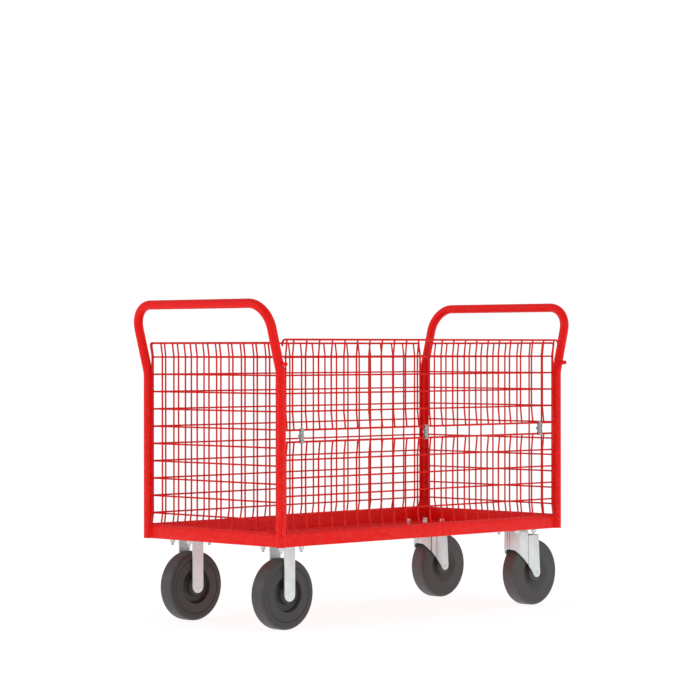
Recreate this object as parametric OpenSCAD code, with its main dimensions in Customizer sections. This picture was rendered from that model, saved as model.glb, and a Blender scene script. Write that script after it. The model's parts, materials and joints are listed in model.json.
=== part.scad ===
// Platform truck with wire-mesh sides, two leaning push handles and a fold-down front gate.
// Millimetres, Z up, wheels on z = 0. X runs along the truck, the gate is on the -Y side.

/* [Frame] */
// Distance between post centres along the truck
post_gap_x = 1160; // [900:10:1400]
// Distance between post centres across the truck
post_gap_y = 557; // [450:1:800]
// Height of the underside of the frame
frame_z = 237.5; // [200:0.5:280]
// Height of the frame angle's upright leg
angle_h = 40; // [35:1:50]
// Width of the frame angle's flat leg
angle_w = 40; // [35:1:45]
// Thickness of the frame angle
angle_t = 3; // [3:0.5:6]
// Thickness of the load deck sheet
deck_t = 2; // [1.5:0.5:4]

/* [Handles] */
// Outside diameter of the bent tubes
tube_d = 26.9; // [21.3:0.1:33.7]
// Wall thickness of the bent tubes
tube_t = 2.3; // [1.5:0.1:3]
// Height of the middle of the handle bar
bar_z = 910; // [880:5:1000]
// Height at which the posts start to lean outward
lean_z = 714; // [700:1:740]
// Lean of the handle from upright, in degrees
lean = 15.3; // [10:0.1:20]
// Bend radius of the handle's corners, to the tube centre
corner_r = 72; // [50:1:90]

/* [Mesh] */
// Wire spacing both ways
pitch = 50; // [40:5:60]
// Diameter of the mesh wires
wire_d = 5; // [4:0.5:5]
// Diameter of the rails that edge each panel
rail_d = 6; // [5:0.5:6]
// Height of the top wire of every panel's square grid
grid_top_z = 761; // [740:1:770]
// Height of the top rail of the fixed panels
rail_top_z = 801; // [790:1:810]
// Height of the gate's top rail
gate_top_z = 810; // [800:1:815]
// Height of the gate's bottom rail, which is its hinge
hinge_z = 560; // [550:1:570]
// Height of the top rail of the fixed lower front panel
lower_top_z = 527; // [515:1:530]

/* [Castors] */
// Wheel diameter
wheel_d = 200; // [180:5:210]
// Tread width
wheel_w = 50; // [40:1:50]
// Castor centre to post centre, both ways
castor_in = 87; // [85:1:100]
// Trail of the swivel castors
trail = 59; // [50:1:62]
// Thickness of the fork metal
fork_t = 4; // [3:0.5:4]

/* [Hidden] */
$fn = 48;
eps = 0.05;                        // gap left between pieces that touch
half_x = post_gap_x / 2;
tube_r = tube_d / 2;
wire_r = wire_d / 2;
rail_r = rail_d / 2;
peg_r = 6;
peg_z = 742;
peg_reach = 30;                    // peg tip to post centre
y_front = -post_gap_y / 2;
y_back = post_gap_y / 2;
lap = 0.4;                         // how far a straight length runs into a bend
swell = 0.05;                      // how much wider the bent tube is than the straight
tuck = 0.3;                        // how far from a wire's corner its straight lengths stop
skin = 1.5;                        // frame face outside the post centres
deck_z = frame_z + angle_t;
deck_top = deck_z + deck_t;
rail_low_z = frame_z + angle_h - 0.8;
rail_off = rail_r + wire_r;        // rails sit outside the wire plane
elbow = 4;                         // the uprights bend this far past the last cross wire
grid_off = wire_d + eps;           // cross wires sit inside the wire plane
grid_rows = 10;
edge_in = 17.8;                    // edge wires to post centre
corner_bend = 5;                   // bend radius where a fixed panel's top rail turns down
front_first = 44;                  // first square-grid wire to post centre, panel by panel
back_first = 66.4;
left_first = 45.4;
right_first = 60.9;
front_count = 22;
end_count = 10;

// castors
plate_t = 4;
plate_z = frame_z - plate_t;
plate_half = 48;
axle_z = wheel_d / 2;
axle_r = 6;
run_gap = 0.06;                    // running clearance of a shaft in its bore, on the radius
fork_in = 27.5;                    // half the gap between fork legs
fork_out = fork_in + fork_t;
spacer_r = 9;
bush_r = 14;
hub_r = 27;
dish_r = 51;
rim_r = 79;
hub_half = 25.5;
shoulder_r = 10;
bolt_x = 39;
bolt_y = 36.5;
bolt_r = 4;
bolt_end_z = 216.5;
nut_h = 8;
washer_t = 1.6;
crown_z = 216;
head_r = 36.5;
race_z = 228.5;
kingpin_r = 8;
ball_ring_r = 26;
ball_r = 2.5;
castor_x = half_x - castor_in;
castor_y1 = y_front + castor_in;
castor_y2 = y_back - castor_in;

// these put the middle of the whole truck on the origin
bar_out = (bar_z - lean_z) * tan(lean);
bar_rise = (bar_z - lean_z) / cos(lean);
x_mid = (half_x + bar_out + tube_r + swell - (castor_x + trail + axle_z)) / 2;
y_mid = (peg_reach - tube_r) / 2;

// clips that hinge the gate on the lower panel
clip_w = 12;
clip_t = 2;
clip_x = [-507, -6, 493];
hinge_y = y_front - rail_off;
clip_bore = rail_r + run_gap;
clip_mid_z = (hinge_z + lower_top_z) / 2;

red = [0.80, 0.06, 0.06];
zinc = [0.78, 0.79, 0.80];
rubber = [0.20, 0.19, 0.19];
plastic = [0.28, 0.27, 0.27];

// ---------------------------------------------------------------- helpers

// round bar from a to b
module rod(a, b, r) {
  d = b - a;
  translate(a) rotate([0, acos(d[2] / norm(d)), atan2(d[1], d[0])]) cylinder(h = norm(d), r = r);
}

// moves a piece from the posts' own middle to the truck's
module shift() { translate([x_mid, y_mid, 0]) children(); }

// the four posts, grown a little, to cope what butts against them
module post_cut(grow) {
  for (x = [-half_x, half_x], y = [y_front, y_back])
    translate([x, y, frame_z - 1]) cylinder(h = angle_h + 2, r = tube_r + grow);
}

// copies children to the castor at (x, y)
module at(x, y) { translate([x, y, 0]) children(); }

module at_bolts() {
  for (x = [-bolt_x, bolt_x], y = [-bolt_y, bolt_y]) translate([x, y, 0]) children();
}

module at_castors() {
  for (x = [-castor_x, castor_x], y = [castor_y1, castor_y2]) at(x, y) children();
}

// ---------------------------------------------------------------- frame

// angle iron between two posts: outer face on the -Y side of its own line
module long_angle(y, side) {
  difference() {
    union() {
      translate([-half_x, y + (side < 0 ? -skin : skin - angle_t), frame_z])
        cube([post_gap_x, angle_t, angle_h]);
      translate([-half_x + angle_t - skin + eps, y + (side < 0 ? -skin : skin - angle_w), frame_z])
        cube([post_gap_x - 2 * (angle_t - skin + eps), angle_w, angle_t]);
    }
    post_cut(eps);
  }
}

module short_angle(x, side) {
  inner = angle_w - skin + eps;
  difference() {
    union() {
      translate([x + (side < 0 ? -skin : skin - angle_t), y_front, frame_z])
        cube([angle_t, post_gap_y, angle_h]);
      translate([x + (side < 0 ? -skin : skin - angle_w), y_front + inner, frame_z])
        cube([angle_w, post_gap_y - 2 * inner, angle_t]);
    }
    post_cut(eps);
    // the long members' upright legs pass the ends
    for (y = [y_front, y_back])
      translate([x - angle_w, y - angle_t, frame_z - 1]) cube([2 * angle_w, 2 * angle_t, angle_h + 2]);
  }
}

module frame_front() color(red) shift() long_angle(y_front, -1);
module frame_back() color(red) shift() long_angle(y_back, 1);
module frame_left() color(red) shift() short_angle(-half_x, -1);
module frame_right() color(red) shift() short_angle(half_x, 1);

// load sheet lying in the tray that the angles form
module deck_plate() {
  inset = angle_t - skin + 0.5;
  color(red) shift() difference() {
    translate([-half_x + inset, y_front + inset, deck_z])
      cube([post_gap_x - 2 * inset, post_gap_y - 2 * inset, deck_t]);
    post_cut(1);
    at_castors() at_bolts() translate([0, 0, deck_z - 1]) cylinder(h = deck_t + 2, r = bolt_r + 0.5);
  }
}

// flat bars under the sheet, flush with the frame's underside
module cross_bars() {
  edge = angle_w - skin + eps;
  color(red) shift() for (x = [-193, 193])
    translate([x - 20, y_front + edge, frame_z]) cube([40, post_gap_y - 2 * edge, angle_t - eps]);
}

// flat plates in the frame's corners that carry the castors
module castor_pads() {
  edge = angle_w - skin + eps;
  size_x = castor_in + plate_half + 6 - edge;
  color(red) shift() difference() {
    for (sx = [-1, 1], y = [y_front + edge, y_back - edge - size_x])
      translate([sx < 0 ? -half_x + edge : half_x - edge - size_x, y, frame_z])
        cube([size_x, size_x, angle_t - eps]);
    at_castors() at_bolts() translate([0, 0, frame_z - 1]) cylinder(h = angle_t + 2, r = bolt_r + 0.5);
  }
}

// ---------------------------------------------------------------- handles

// half of the hoop on the -X end as solid bar of radius r, from a post's foot to the bar, with the
// post on x = 0, y = 0 and the bar toward +Y; the bends swell a hair, and each length ends in one
module half_hoop(r) {
  knee_r = 90;
  knee = knee_r * tan(lean / 2);
  bend = r + swell;
  translate([0, 0, frame_z]) cylinder(h = lean_z - knee - frame_z + lap, r = r);
  translate([-knee_r, 0, lean_z - knee]) rotate([90, 0, 0]) rotate_extrude(angle = lean)
    translate([knee_r, 0]) circle(r = bend);
  translate([0, 0, lean_z]) rotate([0, -lean, 0]) {
    translate([0, 0, knee - lap]) cylinder(h = bar_rise - corner_r - knee + 2 * lap, r = r);
    translate([0, corner_r, bar_rise - corner_r]) rotate([0, -90, 0]) rotate([0, 0, -90])
      rotate_extrude(angle = 90) translate([corner_r, 0]) circle(r = bend);
  }
}

module solid_hoop(r) {
  translate([-half_x, y_front, 0]) half_hoop(r);
  translate([-half_x, y_back, 0]) mirror([0, 1, 0]) half_hoop(r);
  translate([-half_x - bar_out, y_front + corner_r - lap, bar_z]) rotate([-90, 0, 0])
    cylinder(h = post_gap_y - 2 * corner_r + 2 * lap, r = r);
}

module hoop() {
  difference() {
    solid_hoop(tube_r);
    solid_hoop(tube_r - tube_t);
    for (y = [y_front, y_back]) translate([-half_x, y, frame_z - 1]) cylinder(h = 2, r = tube_r - tube_t);
  }
}

module hoop_left() color(red) shift() hoop();
module hoop_right() color(red) shift() mirror([1, 0, 0]) hoop();

// pegs welded on the fronts of the two gate posts
module gate_pegs() {
  start = 8;
  tip = 2;
  color(red) shift() for (side = [0, 1]) mirror([side, 0, 0]) difference() {
    translate([-half_x - (peg_z - lean_z) * tan(lean), y_front - start, peg_z]) rotate([90, 0, 0]) {
      cylinder(h = peg_reach - start - tip, r = peg_r);
      translate([0, 0, peg_reach - start - tip]) cylinder(h = tip, r1 = peg_r, r2 = peg_r - 1.5);
    }
    translate([-half_x, y_front, lean_z]) rotate([0, -lean, 0]) cylinder(h = 90, r = tube_r + eps);
  }
}

// ---------------------------------------------------------------- mesh panels

// one bent wire through the points; its corners are balls a hair wider than the wire
module wire(points, r) {
  last = len(points) - 1;
  for (k = [0 : last - 1]) {
    way = (points[k + 1] - points[k]) / norm(points[k + 1] - points[k]);
    rod(points[k] + (k > 0 ? tuck : 0) * way, points[k + 1] - (k + 1 < last ? tuck : 0) * way, r);
    if (k > 0) translate(points[k]) sphere(r = r + 2 * swell);
  }
}

// the point on the way from a to b that stops short of a rail centred on b
function short_of(a, b) = b - (b - a) / norm(b - a) * (rail_r + eps);

// quarter bend of a rail about [0, 0], from the -X side up and over toward +X
module rail_bend(radius) {
  rotate([90, 0, 0]) rotate([0, 0, 90]) rotate_extrude(angle = 90)
    translate([radius, 0]) circle(r = rail_r + swell);
}

// one upright wire, bent outward at each end to meet the rails; u is along the panel
module upright(u, low_rail, low, high, high_rail) {
  foot = [u, 0, low - elbow];
  head = [u, 0, high + elbow];
  wire([short_of(foot, [u, -rail_off, low_rail]), foot, head,
    short_of(head, [u, -rail_off, high_rail])], wire_r);
}

// the thicker wires round a fixed panel: its top rail turns down onto both edge wires
module frame_wire(length, low_rail, low, high, high_rail) {
  back_off = rail_r - wire_r;      // keeps this thicker wire clear of the cross wires
  for (side = [0, 1]) translate([side * length, 0, 0]) mirror([side, 0, 0]) {
    foot = [edge_in, -back_off, low - elbow];
    turn_z = high_rail - corner_bend;
    wire([short_of(foot, [edge_in, -rail_off, low_rail]), foot, [edge_in, -back_off, high + elbow],
      [edge_in, -rail_off, turn_z - 4], [edge_in, -rail_off, turn_z - eps]], rail_r);
    translate([edge_in + corner_bend, -rail_off, turn_z]) rail_bend(corner_bend);
  }
  start = edge_in + corner_bend - lap;
  rod([start, -rail_off, high_rail], [length - start, -rail_off, high_rail], rail_r);
}

// a panel in its own upright plane, outside toward -Y, u from 0 to length between the posts
module panel(length, first, count, low_rail, rows_z, high_rail, row_in, framed) {
  low = rows_z[len(rows_z) - 1];
  high = rows_z[0];
  for (k = [0 : count - 1]) upright(first + pitch * k, low_rail, low, high, high_rail);
  for (z = rows_z) rod([row_in, grid_off, z], [length - row_in, grid_off, z], wire_r);
  rod([rail_butt, -rail_off, low_rail], [length - rail_butt, -rail_off, low_rail], rail_r);
  if (framed) frame_wire(length, low_rail, low, high, high_rail);
  else for (u = [edge_in, length - edge_in]) upright(u, low_rail, low, high, high_rail);
}

function rows(top, n) = [for (k = [0 : n - 1]) top - pitch * k];

row_butt = tube_r - 0.2;           // where cross wires meet a post
rail_butt = edge_in - rail_r;      // where low rails and the gate's cross wires stop
end_rows = rows(grid_top_z, grid_rows);

module mesh_left() {
  color(red) shift() translate([-half_x, y_back, 0]) rotate([0, 0, -90])
    panel(post_gap_y, post_gap_y - left_first - pitch * (end_count - 1), end_count, rail_low_z,
      end_rows, rail_top_z, row_butt, true);
}

module mesh_right() {
  color(red) shift() translate([half_x, y_front, 0]) rotate([0, 0, 90])
    panel(post_gap_y, right_first, end_count, rail_low_z, end_rows, rail_top_z, row_butt, true);
}

module mesh_back() {
  color(red) shift() translate([half_x, y_back, 0]) rotate([0, 0, 180])
    panel(post_gap_x, post_gap_x - back_first - pitch * (front_count - 1), front_count, rail_low_z,
      end_rows, rail_top_z, row_butt, true);
}

module mesh_front_lower() {
  color(red) shift() translate([-half_x, y_front, 0]) {
    panel(post_gap_x, front_first, front_count, rail_low_z,
      rows(lower_top_z - pitch, 4), lower_top_z, row_butt, false);
    rod([rail_butt, -rail_off, lower_top_z], [post_gap_x - rail_butt, -rail_off, lower_top_z], rail_r);
  }
}

// gate: its top rail runs on to both posts, where its ends turn down
module mesh_gate() {
  turn = 11;
  drop = 19;
  start = turn - lap;
  color(red) shift() translate([-half_x, y_front, 0]) {
    panel(post_gap_x, front_first, front_count, hinge_z,
      rows(grid_top_z, 4), gate_top_z, rail_butt, false);
    rod([start, -rail_off, gate_top_z], [post_gap_x - start, -rail_off, gate_top_z], rail_r);
    for (side = [0, 1]) translate([side * post_gap_x, -rail_off, gate_top_z]) mirror([side, 0, 0]) {
      translate([turn, 0, -turn]) rail_bend(turn);
      translate([0, 0, -drop]) cylinder(h = drop - turn + lap, r = rail_r);
    }
  }
}

// ---------------------------------------------------------------- gate clips

// plate half on the +Y side of the rails; two of them face each other round both rails
module clip_half() {
  r_out = clip_bore + clip_t;
  span = hinge_z - lower_top_z;
  flat = 1.2;                      // half the gap between the two plates
  difference() {
    translate([-clip_w / 2, 0, 0]) {
      for (z = [0, span]) translate([0, 0, z]) rotate([0, 90, 0]) cylinder(h = clip_w, r = r_out);
      translate([0, flat, 0]) cube([clip_w, clip_t, span]);
    }
    translate([-clip_w, -2 * r_out, -r_out - 1])
      cube([2 * clip_w, 2 * r_out + flat, span + 2 * r_out + 2]);
    for (z = [0, span]) translate([-clip_w, 0, z]) rotate([0, 90, 0])
      cylinder(h = 2 * clip_w, r = clip_bore);
    translate([0, -1, span / 2]) rotate([-90, 0, 0]) cylinder(h = 10, r = 3.2);
  }
}

module at_clips() { for (x = clip_x) translate([x, hinge_y, lower_top_z]) children(); }

module clip_fronts() color(zinc) shift() at_clips() mirror([0, 1, 0]) clip_half();
module clip_backs() color(zinc) shift() at_clips() clip_half();

module clip_bolts() {
  color(zinc) shift() for (x = clip_x) translate([x, hinge_y, clip_mid_z]) rotate([90, 0, 0]) {
    translate([0, 0, 1.2 + clip_t + eps]) cylinder(h = 4, r = 5, $fn = 6);
    translate([0, 0, -12]) cylinder(h = 16, r = 3);
  }
}

module clip_nuts() {
  color(zinc) shift() for (x = clip_x) translate([x, hinge_y + 1.2 + clip_t + eps, clip_mid_z])
    rotate([-90, 0, 0]) difference() {
      cylinder(h = 5, r = 5.5, $fn = 6);
      translate([0, 0, -1]) cylinder(h = 7, r = 3 + eps);
    }
}

// ---------------------------------------------------------------- castor fixings

module castor_bolts() {
  color(zinc) shift() at_castors() at_bolts() {
    translate([0, 0, deck_top + eps]) cylinder(h = 5.3, r = 7.5, $fn = 6);
    translate([0, 0, bolt_end_z]) cylinder(h = deck_top + 1 - bolt_end_z, r = bolt_r);
  }
}

module castor_washers() {
  color(zinc) shift() at_castors() at_bolts() translate([0, 0, plate_z - washer_t]) difference() {
    cylinder(h = washer_t - eps, r = 8);
    translate([0, 0, -1]) cylinder(h = 4, r = bolt_r + 0.3);
  }
}

module castor_nuts() {
  color(zinc) shift() at_castors() at_bolts() translate([0, 0, plate_z - washer_t - nut_h - eps])
    difference() {
      cylinder(h = nut_h, r = 7.5, $fn = 6);
      translate([0, 0, -1]) cylinder(h = nut_h + 2, r = bolt_r + eps);
    }
}

// ---------------------------------------------------------------- castors

module top_plate() {
  difference() {
    translate([-plate_half, -plate_half, plate_z])
      cube([2 * plate_half, 2 * plate_half, plate_t - eps]);
    at_bolts() translate([0, 0, plate_z - 1]) cylinder(h = plate_t + 2, r = bolt_r + 0.5);
  }
}

// hole for the axle through both legs
module axle_hole(x) {
  translate([x, 0, axle_z]) rotate([90, 0, 0]) cylinder(h = 4 * fork_out, r = axle_r + eps, center = true);
}

// fixed fork: two straight legs with round ends, welded under the top plate
module fixed_fork() {
  leg_half = 20;
  difference() {
    union() {
      top_plate();
      for (y = [-fork_out, fork_in]) {
        translate([-leg_half, y, axle_z]) cube([2 * leg_half, fork_t, plate_z + 1 - axle_z]);
        translate([0, y + fork_t, axle_z]) rotate([90, 0, 0]) cylinder(h = fork_t, r = leg_half);
      }
    }
    axle_hole(0);
  }
}

module fixed_fork_front() color(zinc) shift() at(-castor_x, castor_y1) fixed_fork();
module fixed_fork_back() color(zinc) shift() at(-castor_x, castor_y2) fixed_fork();

module axle(x) {
  translate([x, 0, axle_z]) rotate([90, 0, 0]) cylinder(h = 2 * fork_out, r = axle_r, center = true);
}

module spacer(x) {
  translate([x, 0, axle_z]) rotate([90, 0, 0]) difference() {
    cylinder(h = 2 * fork_in - 2 * eps, r = spacer_r, center = true);
    cylinder(h = 4 * fork_in, r = axle_r + eps, center = true);
  }
}

module fixed_axles() color(zinc) shift() for (y = [castor_y1, castor_y2]) at(-castor_x, y) axle(0);
module fixed_spacers() color(zinc) shift() for (y = [castor_y1, castor_y2]) at(-castor_x, y) spacer(0);

// swivel top plate with the upper ball race pressed into it
module swivel_plate() {
  difference() {
    union() {
      top_plate();
      translate([0, 0, race_z + 1]) cylinder(h = plate_z + 1 - race_z - 1, r = head_r - 4);
    }
    translate([0, 0, race_z - 1]) cylinder(h = 20, r = kingpin_r + eps);
    translate([0, 0, race_z + 0.5]) rotate_extrude() translate([ball_ring_r, 0]) circle(r = ball_r + 0.3);
  }
}

module swivel_plate_front() color(zinc) shift() at(castor_x, castor_y1) swivel_plate();
module swivel_plate_back() color(zinc) shift() at(castor_x, castor_y2) swivel_plate();

// rivet that the fork turns on
module kingpin() {
  translate([0, 0, crown_z - 10]) cylinder(h = 5, r = 13);
  translate([0, 0, crown_z - 6]) cylinder(h = frame_z - crown_z + 6 - eps, r = kingpin_r);
}

module kingpins() color(zinc) shift() for (y = [castor_y1, castor_y2]) at(castor_x, y) kingpin();

module swivel_balls() {
  color(zinc) shift() for (y = [castor_y1, castor_y2], k = [0 : 11])
    at(castor_x, y) rotate([0, 0, 30 * k]) translate([ball_ring_r, 0, race_z + 0.5]) sphere(r = ball_r);
}

// side outline of the swivel fork, x toward the wheel, y upward
module fork_outline() {
  tip_r = 14.5;
  polygon([[-40, 176], [-27, 170], [-17, 158], [3, 143], [20, 126.5], [trail - tip_r + 3, 93],
    [trail + tip_r, axle_z], [trail + 7, crown_z + 1], [-40, crown_z + 1]]);
  translate([trail, axle_z]) circle(r = tip_r);
}

// plan outline: parallel sides that run into a round front
module fork_plan(r, half, end) {
  intersection() {
    union() {
      circle(r = r);
      translate([0, -half]) square([end, 2 * half]);
    }
    translate([-2 * r, -half]) square([2 * r + end, 2 * half]);
  }
}

module swivel_fork() {
  difference() {
    union() {
      intersection() {
        translate([0, 0, axle_z - 20]) linear_extrude(height = crown_z - axle_z + 20) difference() {
          fork_plan(head_r, fork_out, trail + 20);
          fork_plan(head_r - fork_t, fork_in, trail + 30);
        }
        rotate([90, 0, 0]) linear_extrude(height = 4 * fork_out, center = true) fork_outline();
      }
      translate([0, 0, crown_z - fork_t]) linear_extrude(height = fork_t)
        fork_plan(head_r, fork_out, trail + 7);
      translate([0, 0, crown_z - fork_t]) cylinder(h = race_z - crown_z + fork_t, r = head_r);
    }
    translate([0, 0, crown_z - 20]) cylinder(h = 60, r = kingpin_r + run_gap);
    translate([0, 0, race_z + 0.5]) rotate_extrude() translate([ball_ring_r, 0]) circle(r = ball_r + 0.3);
    axle_hole(trail);
  }
}

module swivel_fork_front() color(zinc) shift() at(castor_x, castor_y1) swivel_fork();
module swivel_axle_front() color(zinc) shift() at(castor_x, castor_y1) axle(trail);
module swivel_spacer_front() color(zinc) shift() at(castor_x, castor_y1) spacer(trail);
module swivel_fork_back() color(zinc) shift() at(castor_x, castor_y2) swivel_fork();
module swivel_axle_back() color(zinc) shift() at(castor_x, castor_y2) axle(trail);
module swivel_spacer_back() color(zinc) shift() at(castor_x, castor_y2) spacer(trail);

// ---------------------------------------------------------------- wheels

// places a wheel part that is modelled about Z
module on_axle(x, y) { translate([x, y, axle_z]) rotate([90, 0, 0]) children(); }

module tyre() {
  flat = wheel_w / 2 - shoulder_r;
  rotate_extrude($fn = 96) {
    translate([rim_r + eps, -wheel_w / 2]) square([axle_z - shoulder_r - rim_r - eps, wheel_w]);
    translate([rim_r + eps, -flat]) square([axle_z - rim_r - eps, 2 * flat]);
    for (y = [-flat, flat]) translate([axle_z - shoulder_r, y]) circle(r = shoulder_r);
  }
}

module centre() {
  rotate_extrude($fn = 96) {
    translate([dish_r, -wheel_w / 2 + 1]) square([rim_r - dish_r, wheel_w - 2]);
    translate([hub_r - 1, -9]) square([dish_r - hub_r + 2, 18]);
    translate([bush_r + eps, -hub_half]) square([hub_r - bush_r - eps, 2 * hub_half]);
  }
}

module bush() {
  rotate_extrude() translate([spacer_r + run_gap, -hub_half])
    square([bush_r - spacer_r - run_gap, 2 * hub_half]);
}

module tyre_left_front() color(rubber) shift() on_axle(-castor_x, castor_y1) tyre();
module wheel_left_front() color(plastic) shift() on_axle(-castor_x, castor_y1) centre();
module bush_left_front() color(zinc) shift() on_axle(-castor_x, castor_y1) bush();
module tyre_left_back() color(rubber) shift() on_axle(-castor_x, castor_y2) tyre();
module wheel_left_back() color(plastic) shift() on_axle(-castor_x, castor_y2) centre();
module bush_left_back() color(zinc) shift() on_axle(-castor_x, castor_y2) bush();
module tyre_right_front() color(rubber) shift() on_axle(castor_x + trail, castor_y1) tyre();
module wheel_right_front() color(plastic) shift() on_axle(castor_x + trail, castor_y1) centre();
module bush_right_front() color(zinc) shift() on_axle(castor_x + trail, castor_y1) bush();
module tyre_right_back() color(rubber) shift() on_axle(castor_x + trail, castor_y2) tyre();
module wheel_right_back() color(plastic) shift() on_axle(castor_x + trail, castor_y2) centre();
module bush_right_back() color(zinc) shift() on_axle(castor_x + trail, castor_y2) bush();

frame_front();
frame_back();
frame_left();
frame_right();
deck_plate();
cross_bars();
castor_pads();
hoop_left();
hoop_right();
gate_pegs();
mesh_left();
mesh_right();
mesh_back();
mesh_front_lower();
clip_fronts();
clip_backs();
clip_bolts();
clip_nuts();
castor_bolts();
castor_nuts();
castor_washers();
fixed_fork_front();
fixed_fork_back();
fixed_axles();
fixed_spacers();
swivel_plate_front();
swivel_plate_back();
kingpins();
swivel_balls();
mesh_gate();
swivel_fork_front();
swivel_axle_front();
swivel_spacer_front();
swivel_fork_back();
swivel_axle_back();
swivel_spacer_back();
tyre_left_front();
wheel_left_front();
bush_left_front();
tyre_left_back();
wheel_left_back();
bush_left_back();
tyre_right_front();
wheel_right_front();
bush_right_front();
tyre_right_back();
wheel_right_back();
bush_right_back();
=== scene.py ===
import json
from math import atan2, cos, pi, radians, sin, sqrt, tan

import bmesh
import bpy
from mathutils import Matrix, Vector


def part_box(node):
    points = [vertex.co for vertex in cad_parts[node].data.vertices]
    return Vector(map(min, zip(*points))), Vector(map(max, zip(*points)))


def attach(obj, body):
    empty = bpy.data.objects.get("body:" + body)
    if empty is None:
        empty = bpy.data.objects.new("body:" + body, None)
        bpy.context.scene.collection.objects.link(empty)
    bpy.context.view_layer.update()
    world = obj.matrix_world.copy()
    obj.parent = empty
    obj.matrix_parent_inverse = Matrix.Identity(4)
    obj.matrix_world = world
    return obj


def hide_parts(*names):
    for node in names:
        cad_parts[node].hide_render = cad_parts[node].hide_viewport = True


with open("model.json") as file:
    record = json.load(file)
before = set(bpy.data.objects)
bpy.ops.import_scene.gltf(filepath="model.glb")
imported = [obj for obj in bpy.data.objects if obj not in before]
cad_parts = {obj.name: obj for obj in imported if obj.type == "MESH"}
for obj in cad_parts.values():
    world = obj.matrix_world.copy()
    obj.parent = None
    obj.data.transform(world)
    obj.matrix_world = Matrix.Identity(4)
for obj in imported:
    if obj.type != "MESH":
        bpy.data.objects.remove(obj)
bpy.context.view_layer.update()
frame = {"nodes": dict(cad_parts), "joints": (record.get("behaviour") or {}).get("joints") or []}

bl_info = {
    "name": "Mesh-sided platform truck",
    "version": (1, 0, 0),
    "blender": (4, 5, 0),
    "location": "View3D > Sidebar > Truck",
    "description": "Builds a platform truck with wire-mesh sides round its packed frame",
    "category": "Add Mesh",
}

MM = 0.001

# Fixed sizes of the CAD frame, which the pieces follow
ANGLE_WALL = 3 * MM
PEG_RADIUS = 6 * MM
MERGE = 0.002 * MM      # vertices closer than this are one

# Wire panels: wires along each kind of panel, and the gap from a post's middle to the first wire
END_WIRES = 10
LONG_WIRES = 22
LOW_ROWS = 4
TALL_ROWS = 10
FIRST_WIRE = {"left": 45.4 * MM, "right": 60.9 * MM, "back": 66.4 * MM, "front": 44 * MM}
WIRE_BEND = 12 * MM
ELBOW_RISE = 4 * MM     # how far past the end cross wires the uprights bend
CORNER_BEND = 5 * MM
CORNER_DROP = 9 * MM
HOOK_BEND = 11 * MM
HOOK_DROP = 19 * MM

# Gate clips
CLIP_WALL = 2 * MM
CLIP_GAP = 1.2 * MM
CLIP_SPACING = 501 * MM
CLIP_SHANK = 3 * MM

# Castor fixings: half the spacing of each castor's four bolts, then their size
BOLT_X = 39 * MM
BOLT_Y = 36.5 * MM
BOLT_SHANK = 4 * MM

# Castors, measured from the axle or from the swivel's middle
PLATE_WALL = 4 * MM
FORK_OUTSIDE = 31.5 * MM
AXLE_RADIUS = 6 * MM
SLEEVE_RADIUS = 9 * MM
SLEEVE_HALF = 27.4 * MM
BUSH_BORE = 9.06 * MM
BUSH_RADIUS = 14 * MM
HUB_HALF = 25.5 * MM
SWIVEL_HEAD = 12.5 * MM
SKIRT_RADIUS = 36.5 * MM
RIVET_RADIUS = 8 * MM
RIVET_HEAD = 13 * MM
BALLS = 12
BALL_RADIUS = 2.5 * MM
RACE_RADIUS = 26 * MM
RACE_HEIGHT = 229 * MM

# The camera stands off the front left corner, level with the handles
CAMERA_PLACE = (-5.6879, -5.6411, 0.7865)
CAMERA_TILT = -0.042
CAMERA_ROLL = 0.047
CAMERA_HEADING = 44.984
CAMERA_LENS = 138.64
CAMERA_SENSOR = 36.0

JOINTS = {joint["name"]: Vector(joint["pos_m"]) for joint in frame["joints"]}


def low(node):
    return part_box(node)[0]


def high(node):
    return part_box(node)[1]


# ---------------------------------------------------------------- settings

def length(name, about, default):
    return bpy.props.FloatProperty(
        name=name, description=about, default=default, min=0.0, precision=5, unit="LENGTH")


def paint(name, about, default):
    return bpy.props.FloatVectorProperty(
        name=name, description=about, default=default, min=0.0, max=1.0, size=3, subtype="COLOR")


class TruckSizes(bpy.types.PropertyGroup):
    tube: length("Tube", "Outside diameter of the handle tubes", 26.9 * MM)
    tube_wall: length("Tube wall", "Wall thickness of the handle tubes", 2.3 * MM)
    lean_start: length("Lean start", "Height at which the posts start to lean", 714 * MM)
    knee_bend: length("Knee bend", "Bend radius where the posts start to lean", 90 * MM)
    corner_bend: length("Corner bend", "Bend radius of the handle's corners", 72 * MM)
    wire: length("Wire", "Diameter of the mesh wires", 5 * MM)
    rail: length("Rail", "Diameter of the rails round each panel", 6 * MM)
    pitch: length("Pitch", "Spacing of the mesh wires", 50 * MM)
    edge_in: length("Edge wire", "Distance from a post's middle to a panel's edge wire", 17.8 * MM)
    grid_top: length("Grid top", "Height of the top cross wire", 761 * MM)
    soft_edge: length("Soft edge", "Radius on the edges of cut and pressed plate", 0.5 * MM)
    bolt_across: length("Bolt head", "Size of the castor bolt heads across their corners", 15 * MM)
    clip_width: length("Clip width", "Width of the gate clips along the rails", 12 * MM)
    dish: length("Dish radius", "Radius of the hollow in a wheel's side", 51 * MM)
    rim: length("Rim radius", "Radius at which the tyre meets the wheel's centre", 79 * MM)
    hub: length("Hub radius", "Radius of a wheel's hub", 27 * MM)
    shoulder: length("Shoulder", "Radius of the tyre's shoulders", 10 * MM)


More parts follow.
